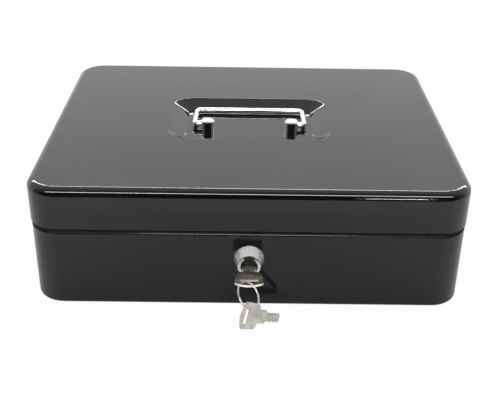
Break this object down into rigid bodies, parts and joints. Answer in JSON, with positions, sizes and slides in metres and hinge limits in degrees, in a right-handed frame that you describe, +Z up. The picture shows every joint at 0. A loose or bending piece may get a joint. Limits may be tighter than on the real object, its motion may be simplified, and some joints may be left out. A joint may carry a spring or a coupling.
{
  "type": "cash box",
  "caption": "Lockable black steel cash box with a folding wire handle in a recessed lid, a cam lock with keys on a ring, and a lift-out coin tray.",
  "frame": {"origin": "middle of the base's flat underside", "axes": "+Z up, the lock and key face -Y, +X to the right of someone who faces the lock"},
  "size_m": [0.3, 0.2924, 0.09],
  "materials": {
    "enamel": "gloss",
    "chrome": "polished",
    "nickel": "polished",
    "steel": "satin",
    "brass": "satin",
    "plastic": "satin"
  },
  "bodies": {
    "base": {"base_shell": "enamel", "base_hinge_leaf_left": "enamel", "base_hinge_leaf_right": "enamel", "hinge_pin_left": "steel", "hinge_pin_right": "steel", "base_hinge_rivets": "enamel", "lock_barrel": "nickel", "lock_washer": "steel", "lock_nut": "steel", "tray_ledge_left": "enamel", "tray_ledge_right": "enamel"},
    "lid": {"lid_shell": "enamel", "lid_hinge_leaf_left": "enamel", "lid_hinge_leaf_right": "enamel", "lid_hinge_rivets": "enamel", "handle_post_left": "chrome", "handle_post_right": "chrome", "post_washers": "steel", "post_nuts": "steel", "catch_plate": "steel"},
    "handle": {"handle_bail": "chrome"},
    "plug": {"lock_plug": "nickel", "lock_wafers": "brass", "lock_cam": "steel", "cam_screw": "steel"},
    "key": {"key_in_lock": "nickel"},
    "ring": {"key_ring": "nickel"},
    "spare": {"spare_key": "nickel"},
    "tray": {"coin_tray": "plastic"}
  },
  "joints": [
    {"name": "lid_hinge", "type": "hinge", "parent": "base", "child": "lid", "pos_m": [0, 0.1247, 0.0591], "axis": [-1, 0, 0], "range_deg": [0, 100]},
    {"name": "handle_fold", "type": "hinge", "parent": "lid", "child": "handle", "pos_m": [0, -0.0029, 0.0864], "axis": [1, 0, 0], "range_deg": [0, 175]},
    {"name": "lock_turn", "type": "hinge", "parent": "base", "child": "plug", "pos_m": [0.0004, -0.1219, 0.0385], "axis": [0, 1, 0], "range_deg": [0, 90]},
    {"name": "key_slide", "type": "slide", "parent": "plug", "child": "key", "axis": [0, -1, 0], "range_m": [0, 0.02]},
    {"name": "ring_swing", "type": "hinge", "parent": "key", "child": "ring", "pos_m": [0, -0.1533, 0.0385], "axis": [1, 0, 0], "range_deg": [-4, 4]},
    {"name": "spare_swing", "type": "hinge", "parent": "ring", "child": "spare", "pos_m": [0, -0.15649, 0.02193], "axis": [0.8433, 0.5375, 0], "range_deg": [-8, 8]},
    {"name": "tray_lift", "type": "slide", "parent": "base", "child": "tray", "axis": [0, 0, 1], "range_m": [0, 0.008]}
  ]
}
